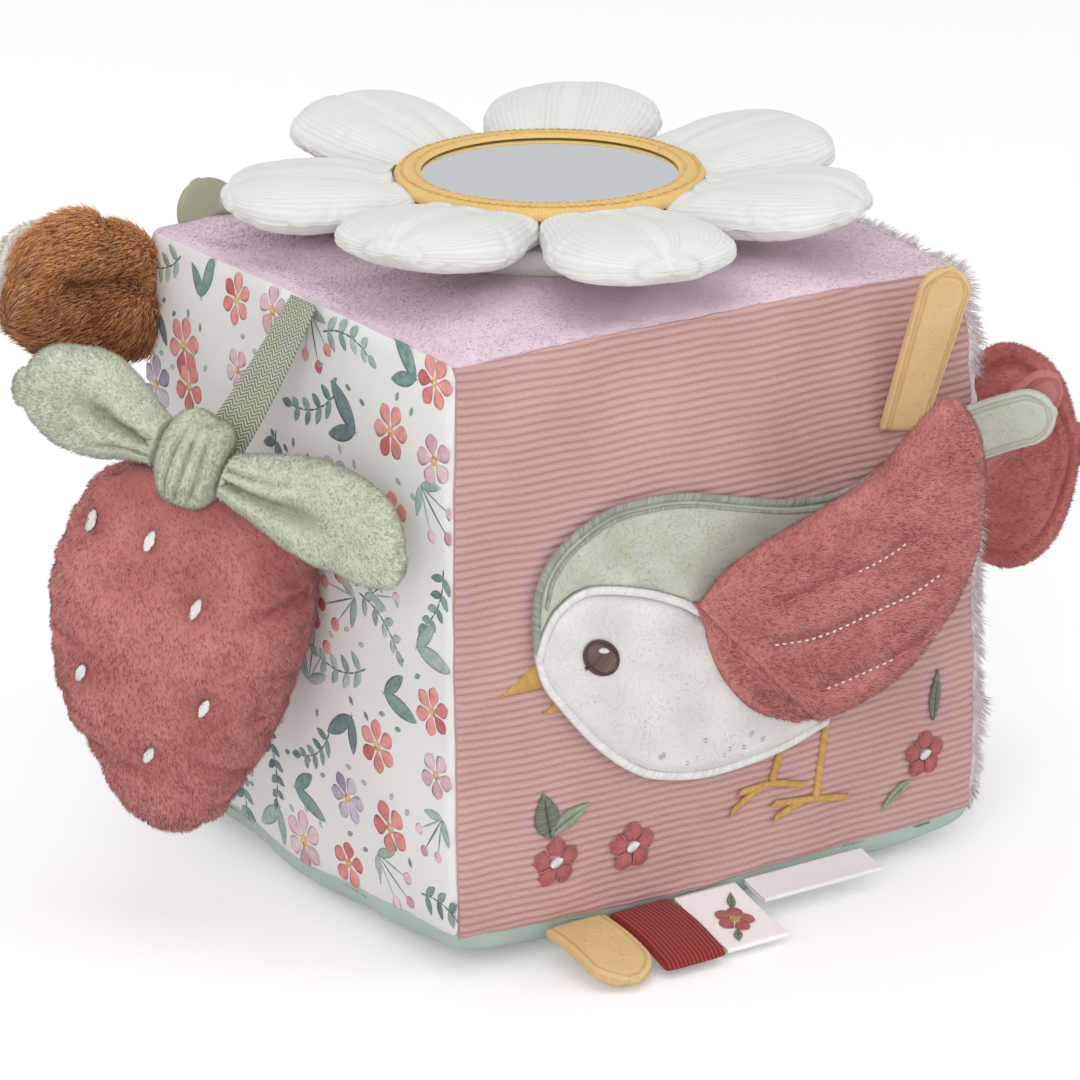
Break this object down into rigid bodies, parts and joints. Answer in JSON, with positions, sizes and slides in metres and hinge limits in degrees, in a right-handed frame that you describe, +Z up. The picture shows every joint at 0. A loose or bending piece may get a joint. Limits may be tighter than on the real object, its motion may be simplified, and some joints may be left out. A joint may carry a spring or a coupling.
{
  "type": "soft fabric block",
  "caption": "Soft stuffed baby activity cube with a mirror daisy, a bird with a loose wing, a hanging strawberry and ribbon tabs.",
  "frame": {"origin": "on the ground under the middle of the cube", "axes": "+Z up, -Y out of the ribbed face with the bird, -X out of the printed face, +X out of the fleece face"},
  "size_m": [0.2566, 0.1836, 0.17],
  "materials": {
    "lilac_plush": "short lilac plush",
    "printed_cotton": "white woven cotton with a floral print",
    "corduroy": "pink ribbed corduroy",
    "fleece": "long pale fleece",
    "mint_cotton": "pale mint cotton with a leaf print",
    "foam": "white filling",
    "rattle_plastic": "matt",
    "rattle_bead": "matt",
    "off_white_velour": "fine ribbed velour",
    "mustard_satin": "stitched satin binding",
    "mirror": "soft mirror film",
    "coral_plush": "coral plush",
    "sage_plush": "sage velour",
    "sage_twill": "herringbone twill tape",
    "cream_velour": "cream velour",
    "crinkle_film": "thin clear film",
    "mustard_velour": "mustard velour",
    "burgundy_cord": "burgundy needlecord",
    "satin_ribbon": "white satin ribbon",
    "brown_plush": "long brown plush",
    "cream_lining": "cream velour"
  },
  "bodies": {
    "block": {"top_panel": "lilac_plush", "print_panel": "printed_cotton", "cord_panel": "corduroy", "fleece_panel": "fleece", "back_panel": "lilac_plush", "base_panel": "mint_cotton", "foam_lower": "foam", "foam_upper": "foam", "rattle_cup": "rattle_plastic", "rattle_cap": "rattle_plastic", "flower_base": "off_white_velour", "mirror_backing": "off_white_velour", "mirror_disc": "mirror", "mirror_ring": "mustard_satin", "bird_back": "sage_plush", "bird_belly": "cream_velour", "wing_hem": "coral_plush"},
    "petal_1": {"petal_1": "off_white_velour"},
    "petal_2": {"petal_2": "off_white_velour"},
    "petal_3": {"petal_3": "off_white_velour"},
    "petal_4": {"petal_4": "off_white_velour"},
    "petal_5": {"petal_5": "off_white_velour"},
    "petal_6": {"petal_6": "off_white_velour"},
    "petal_7": {"petal_7": "off_white_velour"},
    "strawberry": {"hanging_tape": "sage_twill", "strawberry_body": "coral_plush", "bow_knot": "sage_plush", "bow_leaf_left": "sage_plush", "bow_leaf_right": "sage_plush"},
    "wing": {"wing_front": "coral_plush", "crinkle_film": "crinkle_film", "wing_back": "coral_plush"},
    "feather_mustard": {"tail_feather_mustard": "mustard_velour"},
    "feather_sage": {"tail_feather_sage": "sage_plush"},
    "feather_coral": {"tail_feather_coral": "coral_plush"},
    "tab_mustard": {"tab_mustard": "mustard_velour"},
    "tab_burgundy": {"tab_burgundy": "burgundy_cord"},
    "tab_satin": {"tab_satin": "satin_ribbon"},
    "tab_label": {"tab_label": "satin_ribbon"},
    "brush": {"brush_front": "brown_plush", "brush_lining": "cream_lining"},
    "leaf_tab": {"leaf_tab": "sage_plush"},
    "side_flap": {"side_flap": "coral_plush"},
    "rattle_ball": {"rattle_ball": "rattle_bead"}
  },
  "joints": [
    {"name": "petal_1_fold", "type": "hinge", "parent": "block", "child": "petal_1", "pos_m": [-0.03463, 0.01727, 0.15967], "axis": [0.4462, 0.8949, 0], "range_deg": [-2, 42], "stiffness_Nm_per_rad": 0.03},
    {"name": "petal_2_fold", "type": "hinge", "parent": "block", "child": "petal_2", "pos_m": [-0.00809, 0.03784, 0.15967], "axis": [0.9779, 0.2091, 0], "range_deg": [-10, 33], "stiffness_Nm_per_rad": 0.03},
    {"name": "petal_3_fold", "type": "hinge", "parent": "block", "child": "petal_3", "pos_m": [0.02454, 0.02992, 0.15967], "axis": [0.7732, -0.6342, 0], "range_deg": [-6, 37], "stiffness_Nm_per_rad": 0.03},
    {"name": "petal_4_fold", "type": "hinge", "parent": "block", "child": "petal_4", "pos_m": [0.0387, -0.00053, 0.15967], "axis": [-0.0137, -0.9999, 0], "range_deg": [-5, 38], "stiffness_Nm_per_rad": 0.03},
    {"name": "petal_5_fold", "type": "hinge", "parent": "block", "child": "petal_5", "pos_m": [0.02371, -0.03059, 0.15967], "axis": [-0.7903, -0.6127, 0], "range_deg": [-5, 38], "stiffness_Nm_per_rad": 0.03},
    {"name": "petal_6_fold", "type": "hinge", "parent": "block", "child": "petal_6", "pos_m": [-0.00913, -0.03761, 0.15967], "axis": [-0.9718, 0.2359, 0], "range_deg": [-3, 41], "stiffness_Nm_per_rad": 0.03},
    {"name": "petal_7_fold", "type": "hinge", "parent": "block", "child": "petal_7", "pos_m": [-0.03403, -0.01842, 0.15967], "axis": [-0.4761, 0.8794, 0], "range_deg": [-6, 37], "stiffness_Nm_per_rad": 0.03},
    {"name": "strawberry_swing", "type": "hinge", "parent": "block", "child": "strawberry", "pos_m": [-0.07386, -0.01023, 0.14852], "axis": [0, 1, 0], "range_deg": [0, 100]},
    {"name": "wing_flap", "type": "hinge", "parent": "block", "child": "wing", "pos_m": [0.00626, -0.07677, 0.0648], "axis": [0.6967, 0, -0.7173], "range_deg": [-5, 62], "stiffness_Nm_per_rad": 0.03},
    {"name": "feather_mustard_bend", "type": "hinge", "parent": "block", "child": "feather_mustard", "pos_m": [0.05069, -0.07072, 0.1116], "axis": [0.9874, 0, -0.1585], "range_deg": [0, 30], "stiffness_Nm_per_rad": 0.003},
    {"name": "feather_sage_bend", "type": "hinge", "parent": "block", "child": "feather_sage", "pos_m": [0.06134, -0.07364, 0.1067], "axis": [0.0515, 0, 0.9987], "range_deg": [-40, 0], "stiffness_Nm_per_rad": 0.003},
    {"name": "feather_coral_bend", "type": "hinge", "parent": "block", "child": "feather_coral", "pos_m": [0.06595, -0.07032, 0.09806], "axis": [-0.4307, 0, 0.9025], "range_deg": [0, 10], "stiffness_Nm_per_rad": 0.003},
    {"name": "tab_mustard_bend", "type": "hinge", "parent": "block", "child": "tab_mustard", "pos_m": [-0.03887, -0.0681, 0.00728], "axis": [-1, 0, 0], "range_deg": [0, 40], "stiffness_Nm_per_rad": 0.003},
    {"name": "tab_burgundy_bend", "type": "hinge", "parent": "block", "child": "tab_burgundy", "pos_m": [-0.02122, -0.06848, 0.00728], "axis": [-1, 0, 0], "range_deg": [0, 40], "stiffness_Nm_per_rad": 0.003},
    {"name": "tab_satin_bend", "type": "hinge", "parent": "block", "child": "tab_satin", "pos_m": [-0.00282, -0.0687, 0.00728], "axis": [-1, 0, 0], "range_deg": [0, 80], "stiffness_Nm_per_rad": 0.003},
    {"name": "tab_label_bend", "type": "hinge", "parent": "block", "child": "tab_label", "pos_m": [0.02598, -0.06855, 0.00728], "axis": [-1, 0, 0], "range_deg": [0, 80], "stiffness_Nm_per_rad": 0.003},
    {"name": "brush_bend", "type": "hinge", "parent": "block", "child": "brush", "pos_m": [-0.07156, 0.06724, 0.12808], "axis": [0, 0, 1], "range_deg": [-50, 0], "stiffness_Nm_per_rad": 0.01},
    {"name": "leaf_tab_bend", "type": "hinge", "parent": "block", "child": "leaf_tab", "pos_m": [-0.05298, 0.06717, 0.14814], "axis": [-1, 0, 0], "range_deg": [0, 70], "stiffness_Nm_per_rad": 0.001},
    {"name": "side_flap_bend", "type": "hinge", "parent": "block", "child": "side_flap", "pos_m": [0.0865, -0.0491, 0.09204], "axis": [0, 0, 1], "range_deg": [-20, 10], "stiffness_Nm_per_rad": 0.01},
    {"name": "rattle_ball_rise", "type": "slide", "parent": "block", "child": "rattle_ball", "axis": [0, 0, 1], "range_m": [0, 0.019]}
  ]
}
